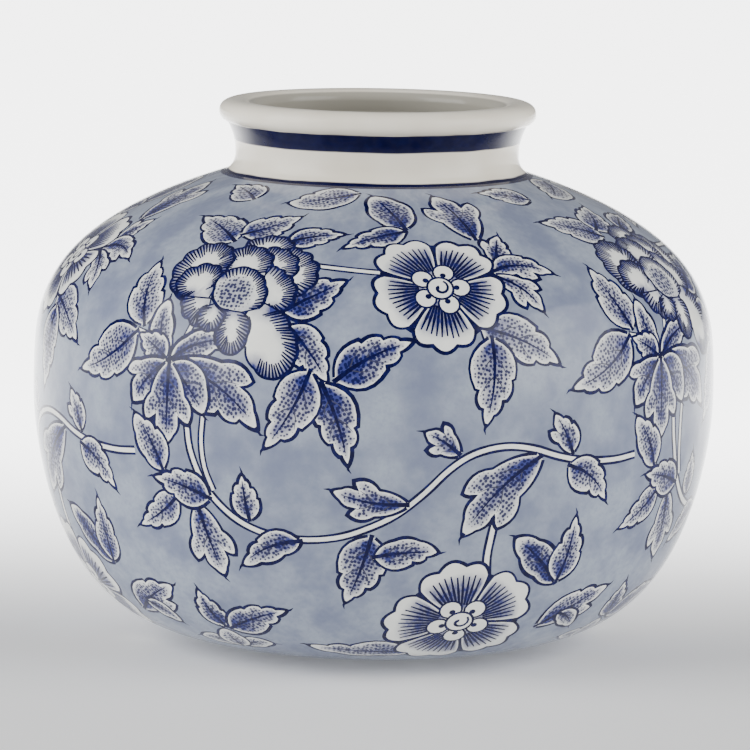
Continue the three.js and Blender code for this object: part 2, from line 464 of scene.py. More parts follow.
# The petals of the peony from the back to the front: the edge and the root as azimuth and height,
# then the length of the hatching, the bulge of the frill, the bare stretches and the stippled heart.
PEONY_PLACE = (-26, 48)
PEONY = [
    ([(-28, 71), (-25.3, 75.3), (-21.8, 76.4), (-18.6, 74.3), (-17.3, 70)], (-22, 64)),
    ([(-18.5, 70), (-15, 68.8), (-12.5, 64.5), (-11, 58.5), (-12, 51), (-14.5, 48)], (-19, 56), 3.6),
    ([(-22.6, 69.8), (-19.8, 69.6), (-17, 67), (-15.2, 62), (-15.4, 56.5), (-18, 53)], (-22, 57), 3.6),
    ([(-30, 58), (-30.4, 64), (-28.4, 69), (-25, 69.8), (-22.3, 67.4), (-20.4, 62.5), (-20.5, 58)],
      (-25, 56), 3.8),
    ([(-33, 44.8), (-37.5, 46), (-39.6, 52), (-39.9, 60), (-38.6, 66), (-35.6, 69.6), (-32, 69.2),
      (-29.8, 66), (-29, 59), (-30, 54)], (-31.5, 50), 4.2),
    ([(-34, 45), (-37.6, 48), (-37.8, 53), (-35.6, 57.6), (-32.4, 59), (-30, 57), (-29.4, 51)], (-30, 45),
      3.2),
    ([(-20.8, 60), (-18.4, 59.6), (-16.8, 56.6), (-15, 53.6), (-14.2, 48), (-15, 43.2), (-17.4, 41.6)],
      (-20.5, 46), 3.4),
    ([(-21.8, 42), (-22, 35), (-21.2, 28), (-19.4, 21), (-16.8, 17.8), (-14.4, 19.6), (-12.8, 24.4),
      (-12.6, 30), (-14, 36), (-16.4, 42)], (-19, 44.5), 4.2, 0.14, 3),
    ([(-26.6, 40), (-27, 33), (-26, 27.5), (-24, 25.2), (-22.2, 26.8), (-21.2, 32), (-21.6, 39)], (-24, 42),
      3.6, 0.14),
    ([(-35, 45), (-34.6, 40.5), (-32.6, 36.6), (-30.4, 34.2), (-29, 37)], (-29.5, 45), 4.4),
    ([(-29.8, 42), (-31, 37.6), (-29.8, 33.8), (-27.6, 33.4), (-26.2, 36.6), (-26.4, 41)], (-28, 43.4),
      2.6),
    ([(-25.4, 41), (-28.4, 43.4), (-29.6, 49), (-29.2, 55), (-27, 58.8), (-24, 58.8), (-21.8, 56.2),
      (-20, 51.6), (-19.3, 46.6), (-20.2, 42.4)], (-23, 40.6), 2.6, 0.14, 3, (-25.6, 48)),
]


def peony():
    """The big double flower."""
    place = Place(*PEONY_PLACE)
    for edge, root, *manner in PEONY:
        frilled_petal(place, edge, root, *manner)


# Each leaf's stalk end and tip, as azimuth and height, then its half-width, form, bend and shade.
LEAVES = [
    # Round the neck.
    (-5, 110, -26.5, 99.6, 8.2, "round", 0.04, 0.4),
    (52, 100, 35.5, 109, 6.8, "notched", -0.06, 0.4),
    (7.2, 83, -1.6, 108, 7.8, "plain", -0.02, 0.9),
    (7.5, 82.5, -7, 71.5, 5.2, "notched", -0.04, 0.9),
    (22.6, 76, 18.2, 108, 9.4, "lobed", -0.03, 0.8),
    (-31, 72, -46.6, 85, 8.0, "notched", -0.05, 0.5),
    (-31.2, 76, -19, 90.6, 7.8, "mirrored", -0.05, 0.6),
    (-19.5, 73.5, -6.6, 79.8, 5.8, "notched", 0.06, 0.8),
    # Round the upper blossom.
    (24, 62, 28.4, 78.6, 5.6, "half_lobed", 0.02, 0.8),
    (22, 59, 35.6, 57, 5.6, "other_lobed", 0.16, 0.7),
    (22.5, 58, 30.2, 41.5, 5.4, "lobed", 0.1, 0.5),
    (17.6, 37, 31.6, 22.4, 8.2, "notched", 0.06, 0.4),
    (19.6, 34, 18.2, 2, 8.0, "mirrored", 0.05, 0.45),
    # Between the flowers.
    (-14.6, 37, -7.2, 17.2, 7.0, "mirrored", 0.04, 0.6),
    (-16, 41.5, -5, 55.6, 8.0, "notched", 0.0, 1.0),
    (-6.4, 17.6, 6.6, 32.4, 7.6, "mirrored", 0.06, 1.0),
    (-8.4, 18, -3.8, -11.8, 7.6, "notched", 0.04, 1.0),
    (-10, 22, -17.6, -6.8, 8.0, "notched", 0.05, 0.6),
    # Left of the peony.
    (-41.4, 32, -45.2, 58.6, 8.2, "notched", 0.05, 0.45),
    (-42.4, 31, -56.4, 13.4, 8.4, "mirrored", 0.08, 0.45),
    # The cluster below the peony.
    (-35.2, 21, -23.4, 30.4, 4.6, "plain", 0.1, 0.9),
    (-35.6, 22, -38, 43.4, 5.2, "plain", 0.1, 0.7),
    (-34.6, 21, -18.4, -0.6, 10.2, "half_lobed", 0.1, 0.85),
    (-35.4, 21.4, -42.2, 29.6, 5.6, "notched", -0.04, 0.6),
    (-35.2, 21, -28, 3.4, 8.6, "round", 0.05, 0.8),
    (-35.2, 21, -42.4, 5.0, 8.8, "lobed", -0.08, 0.8),
    (-35, 21.5, -35.2, -8.4, 9.6, "lobed", 0.0, 0.85),
    # Along the scroll.
    (-36, -18.4, -42, 1.8, 6.4, "round", -0.06, 0.6),
    (-33.4, -26, -43, -39.8, 5.6, "notched", 0.05, 0.5),
    (-30, -28, -26.6, -56.4, 8.2, "lobed", 0.0, 0.6),
    (-27, -26.4, -38.4, -20.4, 6.4, "notched", -0.04, 0.7),
    (-20.4, -33.6, -21.4, -16, 5.6, "notched", 0.02, 0.6),
    (-11.4, -39.6, -22.8, -51, 5.2, "round", -0.1, 0.8),
    (6.2, -25.2, -6.6, -20.4, 6.4, "lobed", 0.06, 0.9),
    (0.2, -36.4, -4.6, -65, 8.4, "mirrored", 0.02, 0.7),
    (0.2, -45.2, 11.6, -43.4, 5.8, "round", 0.04, 0.7),
    (14.2, -7.6, 8.2, 0.8, 5.6, "lobed", -0.05, 0.8),
    (28.4, -8.6, 15.2, -37.6, 9.8, "lobed", -0.08, 0.75),
    (34.2, -9.4, 30.4, 5.8, 5.6, "half_lobed", -0.04, 0.6),
    (33.2, -12.8, 42.4, -27.8, 6.2, "mirrored", 0.1, 0.5),
    # Round the lower blossom and near the foot.
    (35.6, -59.4, 24.8, -38.6, 6.2, "plain", -0.04, 1.2),
    (35.4, -59, 36.4, -31.8, 6.2, "notched", -0.03, 0.7),
    (35.6, -81, 50.6, -63.6, 7.8, "other_lobed", 0.05, 0.7),
    (-30.6, -83, -33.6, -63.4, 6.0, "notched", 0.05, 0.8),
    (-30.4, -83.4, -15.6, -69.6, 6.6, "mirrored", 0.05, 0.8),
    (11, -94, -13.8, -90, 5.6, "round", 0.05, 0.6),
    (-50.4, -74, -43, -84, 4.4, "plain", 0.1, 0.6),
    # The fan near the foot.
    (-30.6, -97, -21.5, -91.5, 4.6, "plain", 0.15, 0.3),
    (-32.6, -97, -41.4, -92.5, 4.6, "plain", -0.15, 0.3),
    (-31.4, -98.5, -32, -83.5, 6.2, "plain", 0.0, 0.2),
]


def draw_quarter():
    """Everything painted on one quarter of the wall, from the back to the front."""
    # The scrolling stem and its branches.
    stem([(-31.2, 0), (-30.6, -9), (-28.8, -19), (-26.4, -26.5), (-22.5, -33.5), (-17.5, -37.8), (-12, -39.2),
          (-6, -38), (-1, -34.5), (4, -29), (8.5, -21), (12.5, -12.5), (16.5, -7.2), (21.5, -5), (26.5, -6.2),
          (31.5, -9.6), (37, -12), (43, -12.8), (48, -12)])
    stem([(-28.2, 3), (-28.5, -6), (-28, -15), (-26.6, -23)], 1.3, 0.8)
    stem([(20.9, -30), (20.4, -38), (20.2, -46), (20.8, -56)], 1.8, 1.0)
    stem([(-11.5, 62), (-6, 60.8), (0, 59.6), (5, 59)], 1.4, 0.8)
    stem([(-34.5, 20), (-32.4, 30), (-31, 39)], 1.3, 0.7)
    stem([(-34.5, 21), (-30.6, 30), (-28.4, 37)], 1.2, 0.7)
    stem([(-35, 20), (-37.8, 28), (-42.8, 31)], 0.9, 0.6)
    stem([(-26.8, 84), (-27.4, 76), (-27.2, 69)], 1.6, 0.8)
    for base_az, base_s, tip_az, tip_s, *manner in LEAVES:
        leaf((base_az, base_s), (tip_az, tip_s), *manner)
    # The flowers.
    blossom((17.6, -74.5), 27.5, 105)
    blossom((11.8, 52.6), 25.4, 125)
    peony()


# ---- the painted skin

GROUND_SPACING = 4.0
FILL_SPACING = 2.5
FLAT_SCALE = math.radians(BELLY_RADIUS)  # millimetres to a degree, in the flat drawing
COLUMNS = round(QUARTER * FLAT_SCALE / GROUND_SPACING)
CLOSE = 1e-3
LEAST_AREA = 0.004
EDGE_MARGIN = 0.5  # keeps a shape's inner points off the quarter's sides
SHARED_GAP = 0.02  # under which two points on a side are one
CUT_GAP = 1e-4  # under which the triangulation joins points


def inside(outline, points):
    x, y = points.T
    hit = np.zeros(len(points), bool)
    for (x0, y0), (x1, y1) in zip(outline, np.roll(outline, -1, 0)):
        if y0 != y1:
            hit ^= ((y0 > y) != (y1 > y)) & (x < x0 + (y - y0) * (x1 - x0) / (y1 - y0))
    return hit


def staggered(left, right, bottom, top, spacing):
    """Points spread over a rectangle, clear of its edges."""
    rows = round((top - bottom) / spacing)
    columns = max(1, round((right - left) / spacing))
    row, column = np.meshgrid(np.arange(1, rows), np.arange(columns), indexing="ij")
    x = left + (right - left) * (column + 0.5 + np.where(row % 2, 0.25, -0.25)) / columns
    y = bottom + (top - bottom) * row / max(rows, 1)
    return np.stack([x.ravel(), y.ravel()], -1)


class Quarter:
    """A quarter of the wall, cut into triangles along every painted edge."""

    def __init__(self):
        self.layers = []
        self.left, self.right = CELL_START * FLAT_SCALE, (CELL_START + QUARTER) * FLAT_SCALE
        vertices, faces, owners = [], [], []

        def add_face(outline, owner):
            outline = outline if area(outline) > 0 else outline[::-1]
            faces.append(list(range(len(vertices), len(vertices) + len(outline))))
            vertices.extend(map(tuple, outline))
            owners.append(owner)

        # Negative owners are the bare wall: -2 below the belly, -1 above it.
        for owner, bottom, top in ((-2, FOOT_END, 0.0), (-1, 0.0, NECK_END)):
            corners = [(self.left, bottom), (self.right, bottom), (self.right, top), (self.left, top)]
            add_face(np.array(corners), owner)
        columns = np.linspace(self.left, self.right, COLUMNS + 1)
        rows = np.linspace(FOOT_END, NECK_END, round((NECK_END - FOOT_END) / GROUND_SPACING))[1:-1]
        extra = [np.stack([columns, np.full(len(columns), s)], -1) for s in (FOOT_END, 0.0, NECK_END)]
        extra += [np.stack([np.full(len(rows), side), rows], -1) for side in (self.left, self.right)]
        extra.append(staggered(self.left, self.right, FOOT_END, NECK_END, GROUND_SPACING))
        for shape in shapes:
            for turn in (-QUARTER, 0.0, QUARTER):
                outline = (shape.outline + (turn, 0)) * (FLAT_SCALE, 1)
                lowest, highest = outline.min(0), outline.max(0)
                if highest[0] < self.left or lowest[0] > self.right or abs(area(outline)) < LEAST_AREA:
                    continue
                add_face(outline, len(self.layers))
                self.layers.append((shape, turn))
                if shape.wash:
                    fine = staggered(lowest[0], highest[0], lowest[1], highest[1], FILL_SPACING)
                    clear = fine[:, 0] > self.left + EDGE_MARGIN
                    clear &= fine[:, 0] < self.right - EDGE_MARGIN
                    extra.append(fine[clear & inside(outline, fine)])
        vertices.extend(map(tuple, np.concatenate(extra)))
        out = delaunay_2d_cdt([Vector(v) for v in vertices], [], faces, 1, CUT_GAP, True)
        kept = [(corners, [owners[source] for source in sources]) for corners, sources
                in zip(out[2], out[5])]
        kept = [(corners, found) for corners, found in kept if min(found, default=0) < 0]
        self.places = np.array([tuple(v) for v in out[0]]) / (FLAT_SCALE, 1)
        self.triangles = np.array([corners for corners, _ in kept])
        self.upper = np.array([min(found) == -1 for _, found in kept])
        self.painted = np.array([max(found) for _, found in kept])

    def corner_paint(self):
        """At each corner: white, wash, stipple and ink, and the place in the brush's own grid."""
        values = np.zeros((len(self.triangles), 3, 4))
        grid = np.zeros((len(self.triangles), 3, 3))
        order = np.argsort(self.painted, kind="stable")
        starts = np.flatnonzero(np.diff(self.painted[order])) + 1
        for rows in np.split(order, starts):
            if self.painted[rows[0]] < 0:
                continue
            shape, turn = self.layers[self.painted[rows[0]]]
            values[rows, :, 0] = 1
            values[rows, :, 3] = shape.ink
            if shape.wash:
                at = self.places[self.triangles[rows]].reshape(-1, 2) - (turn, 0)
                blue, dots, where = shape.wash(shape.place.flat(at))
                values[rows, :, 1] = blue.reshape(-1, 3)
                values[rows, :, 2] = dots.reshape(-1, 3)
                grid[rows] = where.reshape(-1, 3, 3)
        return values, grid

    def shared_vertices(self):
        """The vertex to use for each vertex; for one on the right edge, -1 minus the left edge's."""
        shared = np.arange(len(self.places))
        left, right = self.border(0, CELL_START), self.border(0, CELL_START + QUARTER)
        edge = np.concatenate([left, right])
        order = np.argsort(self.places[edge, 1])
        heights = self.places[edge[order], 1]
        for group in np.split(order, np.flatnonzero(np.diff(heights) > SHARED_GAP) + 1):
            first = edge[group[group < len(left)][0]]
            for i in group:
                shared[edge[i]] = first if i < len(left) else -1 - first
        return shared

    def border(self, axis, value):
        """The triangulation's vertices on one edge of the quarter, in order along it."""
        used = np.unique(self.triangles)
        found = used[np.abs(self.places[used, axis] - value) < CLOSE]
        return found[np.argsort(self.places[found, 1 - axis])]


# ---- meshes

# Heights in the colour map: the painted face above, its inner face and its rims in a low strip.
PLAIN_MAP = (0.01, 0.99)
INNER_MAP = (0.01, 0.05)
PAINTED_MAP_START, PAINTED_MAP_HEIGHT = 0.06, 0.93
RIM_MAP_CENTRE, RIM_MAP_REACH = (0.5, 0.03), (0.4, 0.015)
SMOOTH_COSINE = 0.8  # of the sharpest bend that is shaded as round
WHITE_PAINT, NOWHERE = (1.0, 0.0, 0.0, 0.0), (0.0, 0.0, 0.0)


class Surface:
    """Faces gathered for one piece, with a normal, a map place and paint at every corner."""

    def __init__(self):
        self.points, self.faces = np.zeros((0, 3)), []
        self.normals, self.map, self.paint, self.grid, self.clouds = [], [], [], [], []

    def add_points(self, points):
        self.points = np.vstack([self.points, points])
        return len(self.points) - len(points)

    def add_faces(self, faces, normals, places, paint_values=WHITE_PAINT, grid=NOWHERE, clouds=NOWHERE):
        """Adds faces with a row of values for each of their corners, or one row for them all."""
        self.faces.extend(faces)
        layers = (self.normals, self.map, self.paint, self.grid, self.clouds)
        for layer, values in zip(layers, (normals, places, paint_values, grid, clouds)):
            layer.append(np.broadcast_to(values, (len(normals), np.shape(values)[-1])))

    def join_close_points(self):
        """Makes one point of the points that share a place."""
        _, kept, shared = np.unique(self.points.round(4), axis=0, return_index=True, return_inverse=True)
        self.points = self.points[kept]
        self.faces = [[int(shared[corner]) for corner in face] for face in self.faces]

    def piece(self, name, node, material):
        mesh = bpy.data.meshes.new(name)
        mesh.from_pydata(self.points * MM, [], self.faces)
        mesh.uv_layers.new(name="OFBake").data.foreach_set("uv", np.concatenate(self.map).ravel())
        for title, kind, field, values in (("paint", "FLOAT_COLOR", "color", self.paint),
                                           ("grid", "FLOAT_VECTOR", "vector", self.grid),
                                           ("clouds", "FLOAT_VECTOR", "vector", self.clouds)):
            layer = mesh.attributes.new(title, kind, "CORNER")
            layer.data.foreach_set(field, np.concatenate(values).ravel())
        mesh.polygons.foreach_set("use_smooth", np.ones(len(mesh.polygons), bool))
        mesh.normals_split_custom_set(np.concatenate(self.normals))
        mesh.materials.append(material)
        made = bpy.data.objects.new(name, mesh)
        bpy.context.collection.objects.link(made)
        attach(made, "root")
        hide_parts(node)


def segment_normals(outline):
    """For each stretch of an outline, its normal at both ends, smoothed over gentle bends."""
    along = np.diff(outline, axis=0)
    size = np.maximum(np.hypot(*along.T), 1e-9)
    flat = np.stack([along[:, 1], -along[:, 0]], -1) / size[:, None]
    ends = np.stack([flat, flat], 1)
    for i in range(len(flat) - 1):
        if flat[i] @ flat[i + 1] > SMOOTH_COSINE:
            mean = flat[i] + flat[i + 1]
            ends[i, 1] = ends[i + 1, 0] = mean / np.hypot(*mean)
    return ends


def turned_about(az, values):
    """A radius-and-height pair turned to an azimuth."""
    turn = np.radians(az)
    r, z = values[..., 0], values[..., 1] + 0 * turn
    return np.stack([r * np.sin(turn), -r * np.cos(turn), z], -1)


def add_turned(surface, outline, count, map_span):
    """Turns an open outline round the axis in count steps; returns its first and last rings."""
    outline = np.asarray(outline, float)
    rows = len(outline)
    az = CELL_START + 360 * np.arange(count) / count
    first = surface.add_points(turned_about(az[:, None], outline[None]).reshape(-1, 3))
    along = np.concatenate([[0], np.cumsum(np.hypot(*np.diff(outline, axis=0).T))])
    low_v, high_v = map_span
    v = low_v + (high_v - low_v) * along / along[-1]
    ends = segment_normals(outline)
    per_quarter = count // 4
    faces, normals, places = [], [], []
    for k in range(count):
        k2 = (k + 1) % count
        u = (k % per_quarter) / per_quarter
        u2 = u + 1 / per_quarter
        for j in range(rows - 1):
            ring = [(k, j, 0, u), (k2, j, 0, u2), (k2, j + 1, 1, u2), (k, j + 1, 1, u)]
            if outline[j, 0] < CLOSE:
                ring.pop(0)
            elif outline[j + 1, 0] < CLOSE:
                ring.pop(2)
            faces.append([first + column * rows + row for column, row, _, _ in ring])
            for column, row, end, across in ring:
                normals.append(turned_about(az[column], ends[j, end]))
                places.append((across, v[row]))
    surface.add_faces(faces, np.array(normals), np.array(places))
    ring = first + np.arange(count) * rows
    return ring, ring + rows - 1


def turned_piece(name, node, material, outline):
    """A plain section: its outline runs up the outside and down the inside, and closes."""
    surface = Surface()
    closed = outline[0][0] > CLOSE
    add_turned(surface, [*outline, outline[0]] if closed else outline, TURN, PLAIN_MAP)
    surface.join_close_points()
    surface.piece(name, node, material)


def painted_piece(name, node, material, quarter, upper, inner):
    """A painted section: the outer face in four turned copies, closed by a plain inner face."""
    surface = Surface()
    values, grid = quarter.corner_paint()
    shared = quarter.shared_vertices()
    corners = shared[quarter.triangles]
    whole = (corners != np.roll(corners, 1, 1)).all(1)
    mine = (quarter.upper == upper) & whole
    triangles, values, grid = quarter.triangles[mine], values[mine], grid[mine]
    places = quarter.places
    bottom, top = (0.0, NECK_END) if upper else (FOOT_END, 0.0)
    s = places[triangles, 1].reshape(-1)
    az = places[triangles, 0].reshape(-1)
    map_up = PAINTED_MAP_START + PAINTED_MAP_HEIGHT * (s - bottom) / (top - bottom)
    map_places = np.stack([(az - CELL_START) / QUARTER, map_up], -1)
    around = np.radians(4 * az)
    reach = BELLY_RADIUS / 4
    clouds = np.stack([reach * np.cos(around), reach * np.sin(around), s], -1)
    rims = {bottom: [], top: []}
    for copy in range(4):
        points, _ = on_wall(places[:, 0] + QUARTER * copy, places[:, 1])
        start = surface.add_points(points)
        following = len(places) * ((copy + 1) % 4)
        ids = np.where(shared >= 0, start + shared, following - 1 - shared)
        _, normals = on_wall(az + QUARTER * copy, s)
        surface.add_faces(ids[triangles].tolist(), normals, map_places, values.reshape(-1, 4),
                          grid.reshape(-1, 3), clouds)
        for edge, rim in rims.items():
            found = quarter.border(1, edge)
            share = (places[found, 0] - CELL_START) / QUARTER * COLUMNS
            rim += [(COLUMNS * copy + value, ids[found[i]]) for i, value in enumerate(share)]
    first_ring, last_ring = add_turned(surface, inner, 4 * COLUMNS, INNER_MAP)
    for edge, ring in ((top, first_ring), (bottom, last_ring)):
        close_rim(surface, rims[edge], ring, edge == top)
    surface.piece(name, node, material)


def close_rim(surface, rim, ring, at_top):
    """Joins the painted face's rim, with its many points, to an evenly spaced inner ring."""
    share = np.array([value for value, _ in rim])
    ids = np.array([found for _, found in rim])
    faces, normals, places = [], [], []
    for k in range(4 * COLUMNS):
        between = (share > k - CLOSE) & (share < k + 1 + CLOSE)
        order = np.argsort(share[between])
        outer = list(dict.fromkeys(ids[between][order].tolist()))
        face = outer + [ring[(k + 1) % len(ring)], ring[k]]
        if not at_top:
            face = face[::-1]
        faces.append([int(corner) for corner in face])
        a, b, c = surface.points[outer[0]], surface.points[outer[-1]], surface.points[ring[k]]
        normal = np.cross(b - a, c - a) * (1 if at_top else -1)
        size = max(np.linalg.norm(normal), 1e-9)
        normals += [normal / size] * len(face)
        turn = np.linspace(0, 2 * math.pi, len(face), endpoint=False)
        ring_map = np.stack([np.cos(turn), np.sin(turn)], -1)
        places.append(np.array(RIM_MAP_CENTRE) + np.array(RIM_MAP_REACH) * ring_map)
    surface.add_faces(faces, np.array(normals), np.concatenate(places))


# ---- materials


def linear(red, green, blue):
    """A colour given as 8-bit sRGB, in the linear values that the sockets take."""
    channels = [value / 255 for value in (red, green, blue)]
    return [c / 12.92 if c <= 0.04045 else ((c + 0.055) / 1.055) ** 2.4 for c in channels] + [1.0]


GROUND_DEEP, GROUND_PALE = linear(121, 129, 153), linear(158, 167, 182)
GROUND_BRUSHED = linear(105, 114, 143)
WHITE_DULL, WHITE_CLEAR = linear(236, 238, 233), linear(246, 246, 240)
WASH, STIPPLE = linear(56, 62, 126), linear(12, 15, 68)
LINE_DARK, LINE_PALE = linear(6, 8, 52), linear(18, 23, 86)
# The third colour here is painted shade: a grey laid on the glaze near the axis, inside the vase.
GLAZE_DULL, GLAZE_CLEAR, BORE_SHADE_GREY = linear(234, 226, 209), linear(243, 237, 222), linear(150, 147, 137)
COBALT_DARK, COBALT_PALE = linear(6, 8, 48), linear(10, 13, 58)
CLAY_PALE, CLAY_STAINED, CLAY_GRAIN = linear(219, 211, 197), linear(196, 180, 158), linear(170, 156, 138)
FLOOR_GREY = linear(240, 240, 240)
# Noises as scale, detail and roughness: per millimetre on the painted wall, per metre elsewhere.
CLOUD_NOISE, BRUSH_NOISE, RIPPLE_NOISE = (0.055, 3.0, 0.6), (0.45, 3.0, 0.65), (0.05, 1.0)
BROAD_NOISE, FINE_NOISE = (40.0, 2.0), (260.0, 2.0)
GRAIN_NOISE, STAIN_NOISE = (900.0, 3.0, 0.7), (60.0, 3.0, 0.6)
PAINTED_RELIEF, WHITE_RELIEF, CLAY_RELIEF = 0.0005, 0.0003, 0.0002  # metres
GLAZE_IOR = 1.3
GLAZE_BUMP, CLAY_BUMP = 0.7, 0.4
PAINTED_ROUGHNESS, WHITE_ROUGHNESS, CLAY_ROUGHNESS = 0.13, 0.15, 0.85
STIPPLE_SCALE, STIPPLE_RANDOMNESS = 0.68, 0.55
BAND_DROP = 6.8  # from the top of the neck to the lower edge of its cobalt band
NECK_LINE_TOP, NECK_LINE_BOTTOM = 1.2, 2.2  # above the neck's foot, and below it on the shoulder
SOFT_EDGE = 0.6  # over which a painted band fades
BAND_WANDER = 0.0012  # metres that a band's edge wanders


class Nodes:
    """A small helper for wiring a material's nodes."""

    def __init__(self, name):
        self.material = bpy.data.materials.new(name)
        self.material.use_nodes = True
        self.tree = self.material.node_tree
        self.tree.nodes.clear()
        self.shader = self.add("BsdfPrincipled")
        self.add("OutputMaterial", Surface=self.shader.outputs["BSDF"])

    def add(self, kind, settings=(), **inputs):
        """A node with its settings, and a value or a link for each named input."""
        node = self.tree.nodes.new("ShaderNode" + kind)
        for key, value in dict(settings).items():
            setattr(node, key, value)
        for name, source in inputs.items():
            self.wire(source, node.inputs[name])
        return node

    def wire(self, source, socket):
        if hasattr(source, "is_output"):
            self.tree.links.new(source, socket)
        else:
            socket.default_value = source

    def feed(self, node, *sources):
        """Wires a node's inputs in their order, and returns its first output."""
        for source, socket in zip(sources, node.inputs):
            self.wire(source, socket)
        return node.outputs[0]

    def math(self, operation, *values, clamp=False):
        return self.feed(self.add("Math", {"operation": operation, "use_clamp": clamp}), *values)

    def span(self, value, low_in, high_in, low_out=0.0, high_out=1.0):
        """Maps a value from one range to another with soft ends."""
        node = self.add("MapRange", {"interpolation_type": "SMOOTHSTEP"})
        return self.feed(node, value, low_in, high_in, low_out, high_out)

    def mix(self, share, first, second):
        node = self.add("Mix", {"data_type": "RGBA"}, Factor=share)
        self.wire(first, node.inputs[6])
        self.wire(second, node.inputs[7])
        return node.outputs[2]

    def split(self, vector):
        return self.add("SeparateXYZ", Vector=vector).outputs

    def corner_values(self, name):
        return self.add("Attribute", {"attribute_name": name}).outputs

    def noise(self, vector, scale, detail=2.0, roughness=0.5):
        node = self.add("TexNoise", Vector=vector, Scale=scale, Detail=detail, Roughness=roughness)
        return node.outputs["Fac"]

    def set(self, socket, value):
        self.wire(value, self.shader.inputs[socket])

    def bump(self, relief, strength, height):
        node = self.add("Bump", Strength=strength, Distance=height, Height=relief)
        self.set("Normal", node.outputs["Normal"])

    def glaze(self, roughness, ripple, height):
        """A fired glaze: glossy, with a faint ripple."""
        self.set("Roughness", roughness)
        self.set("IOR", GLAZE_IOR)
        self.bump(ripple, GLAZE_BUMP, height)


def painted_glaze():
    nodes = Nodes("painted_glaze")
    painted = nodes.corner_values("paint")
    clouds = nodes.corner_values("clouds")["Vector"]
    grid = nodes.corner_values("grid")["Vector"]
    white, wash, dots = nodes.split(painted["Vector"])
    line_start = NECK_END - NECK_LINE_BOTTOM
    neck_line = nodes.span(nodes.split(clouds)["Z"], line_start, line_start + SOFT_EDGE)
    ink = nodes.math("MAXIMUM", painted["Alpha"], neck_line)
    broad = nodes.noise(clouds, *CLOUD_NOISE)
    fine = nodes.noise(clouds, *BRUSH_NOISE)
    # The ground is a thin blue wash, cloudy and brushed.
    ground = nodes.mix(nodes.span(broad, 0.3, 0.7), GROUND_DEEP, GROUND_PALE)
    ground = nodes.mix(nodes.span(fine, 0.35, 0.8, 0.0, 0.32), ground, GROUND_BRUSHED)
    # Inside the shapes, blue is washed and stippled over white.
    fill = nodes.mix(nodes.span(broad, 0.3, 0.7), WHITE_DULL, WHITE_CLEAR)
    pooled = nodes.math("MULTIPLY", wash, nodes.span(fine, 0.2, 0.8, 0.75, 1.25), clamp=True)
    fill = nodes.mix(pooled, fill, WASH)
    stipple = nodes.add("TexVoronoi", {"voronoi_dimensions": "2D", "feature": "F1"}, Vector=grid,
                        Scale=STIPPLE_SCALE, Randomness=STIPPLE_RANDOMNESS)
    reach = nodes.math("MULTIPLY", dots, nodes.span(fine, 0.2, 0.8, 0.37, 0.46))
    inside_dot = nodes.math("SUBTRACT", reach, stipple.outputs["Distance"])
    dot = nodes.span(inside_dot, -0.05, 0.05, 0.0, 0.9)
    dot = nodes.math("MULTIPLY", dot, nodes.span(dots, 0.05, 0.3))
    fill = nodes.mix(dot, fill, STIPPLE)
    colour = nodes.mix(white, ground, fill)
    line = nodes.mix(nodes.span(fine, 0.4, 0.75), LINE_DARK, LINE_PALE)
    colour = nodes.mix(ink, colour, line)
    nodes.set("Base Color", colour)
    nodes.glaze(PAINTED_ROUGHNESS, nodes.noise(clouds, *RIPPLE_NOISE), PAINTED_RELIEF)
    return nodes.material


def white_glaze():
    nodes = Nodes("white_glaze")
    place = nodes.add("TexCoord").outputs["Object"]
    x, y, height = nodes.split(place)
    broad = nodes.noise(place, *BROAD_NOISE)
    fine = nodes.noise(place, *FINE_NOISE)
    body = nodes.mix(nodes.span(broad, 0.3, 0.7), GLAZE_DULL, GLAZE_CLEAR)
    # The cobalt band under the lip, and the line where the neck leaves the shoulder.
    wander = nodes.math("MULTIPLY", nodes.math("SUBTRACT", broad, 0.5), BAND_WANDER)
    z = nodes.math("ADD", height, wander)
    band = nodes.span(z, (NECK_TOP - BAND_DROP) * MM, (NECK_TOP - BAND_DROP + SOFT_EDGE) * MM)
    band = nodes.math("MULTIPLY", band, nodes.span(z, (NECK_TOP + 0.1) * MM, (NECK_TOP - 0.3) * MM))
    flat = nodes.add("CombineXYZ", X=x, Y=y).outputs[0]
    radius = nodes.add("VectorMath", {"operation": "LENGTH"}, Vector=flat).outputs["Value"]
    outer = nodes.math("GREATER_THAN", radius, (NECK_BORE + 3) * MM)
    line = nodes.span(z, (NECK_FOOT + NECK_LINE_TOP) * MM, (NECK_FOOT + NECK_LINE_TOP - 0.5) * MM)
    drawn = nodes.math("MULTIPLY", nodes.math("MAXIMUM", band, line), outer)
    cobalt = nodes.mix(nodes.span(fine, 0.35, 0.75), COBALT_DARK, COBALT_PALE)
    # Painted shade: nearer the axis than the neck's bore, in the bore and on the floor disc, the glaze is
    # greyed as if shade lay inside the vase.
    painted_bore_shade = nodes.span(radius, (NECK_BORE + 1.2) * MM, (NECK_BORE + 0.2) * MM)
    body = nodes.mix(nodes.math("MULTIPLY", painted_bore_shade, 0.85), body, BORE_SHADE_GREY)
    nodes.set("Base Color", nodes.mix(drawn, body, cobalt))
    nodes.glaze(WHITE_ROUGHNESS, broad, WHITE_RELIEF)
    return nodes.material


def biscuit():
    nodes = Nodes("biscuit")
    place = nodes.add("TexCoord").outputs["Object"]
    grain = nodes.noise(place, *GRAIN_NOISE)
    stain = nodes.noise(place, *STAIN_NOISE)
    body = nodes.mix(nodes.span(stain, 0.35, 0.75), CLAY_PALE, CLAY_STAINED)
    nodes.set("Base Color", nodes.mix(nodes.span(grain, 0.5, 0.8, 0.0, 0.4), body, CLAY_GRAIN))
    nodes.set("Roughness", CLAY_ROUGHNESS)
    nodes.bump(grain, CLAY_BUMP, CLAY_RELIEF)
    return nodes.material


# ---- the six pieces

LIP_ROWS, SHOULDER_ROWS, BOWL_ROWS, NECK_ROWS, CORNER_ROWS = 48, 40, 60, 49, 4
TONGUE_HALF, TONGUE_HEIGHT, GROOVE_GAP = 1.75, 3.0, 0.2
FOOT_EDGE = 1.0
FLOOR_BEVEL = 3.0
FLOOR_GAP = 0.1


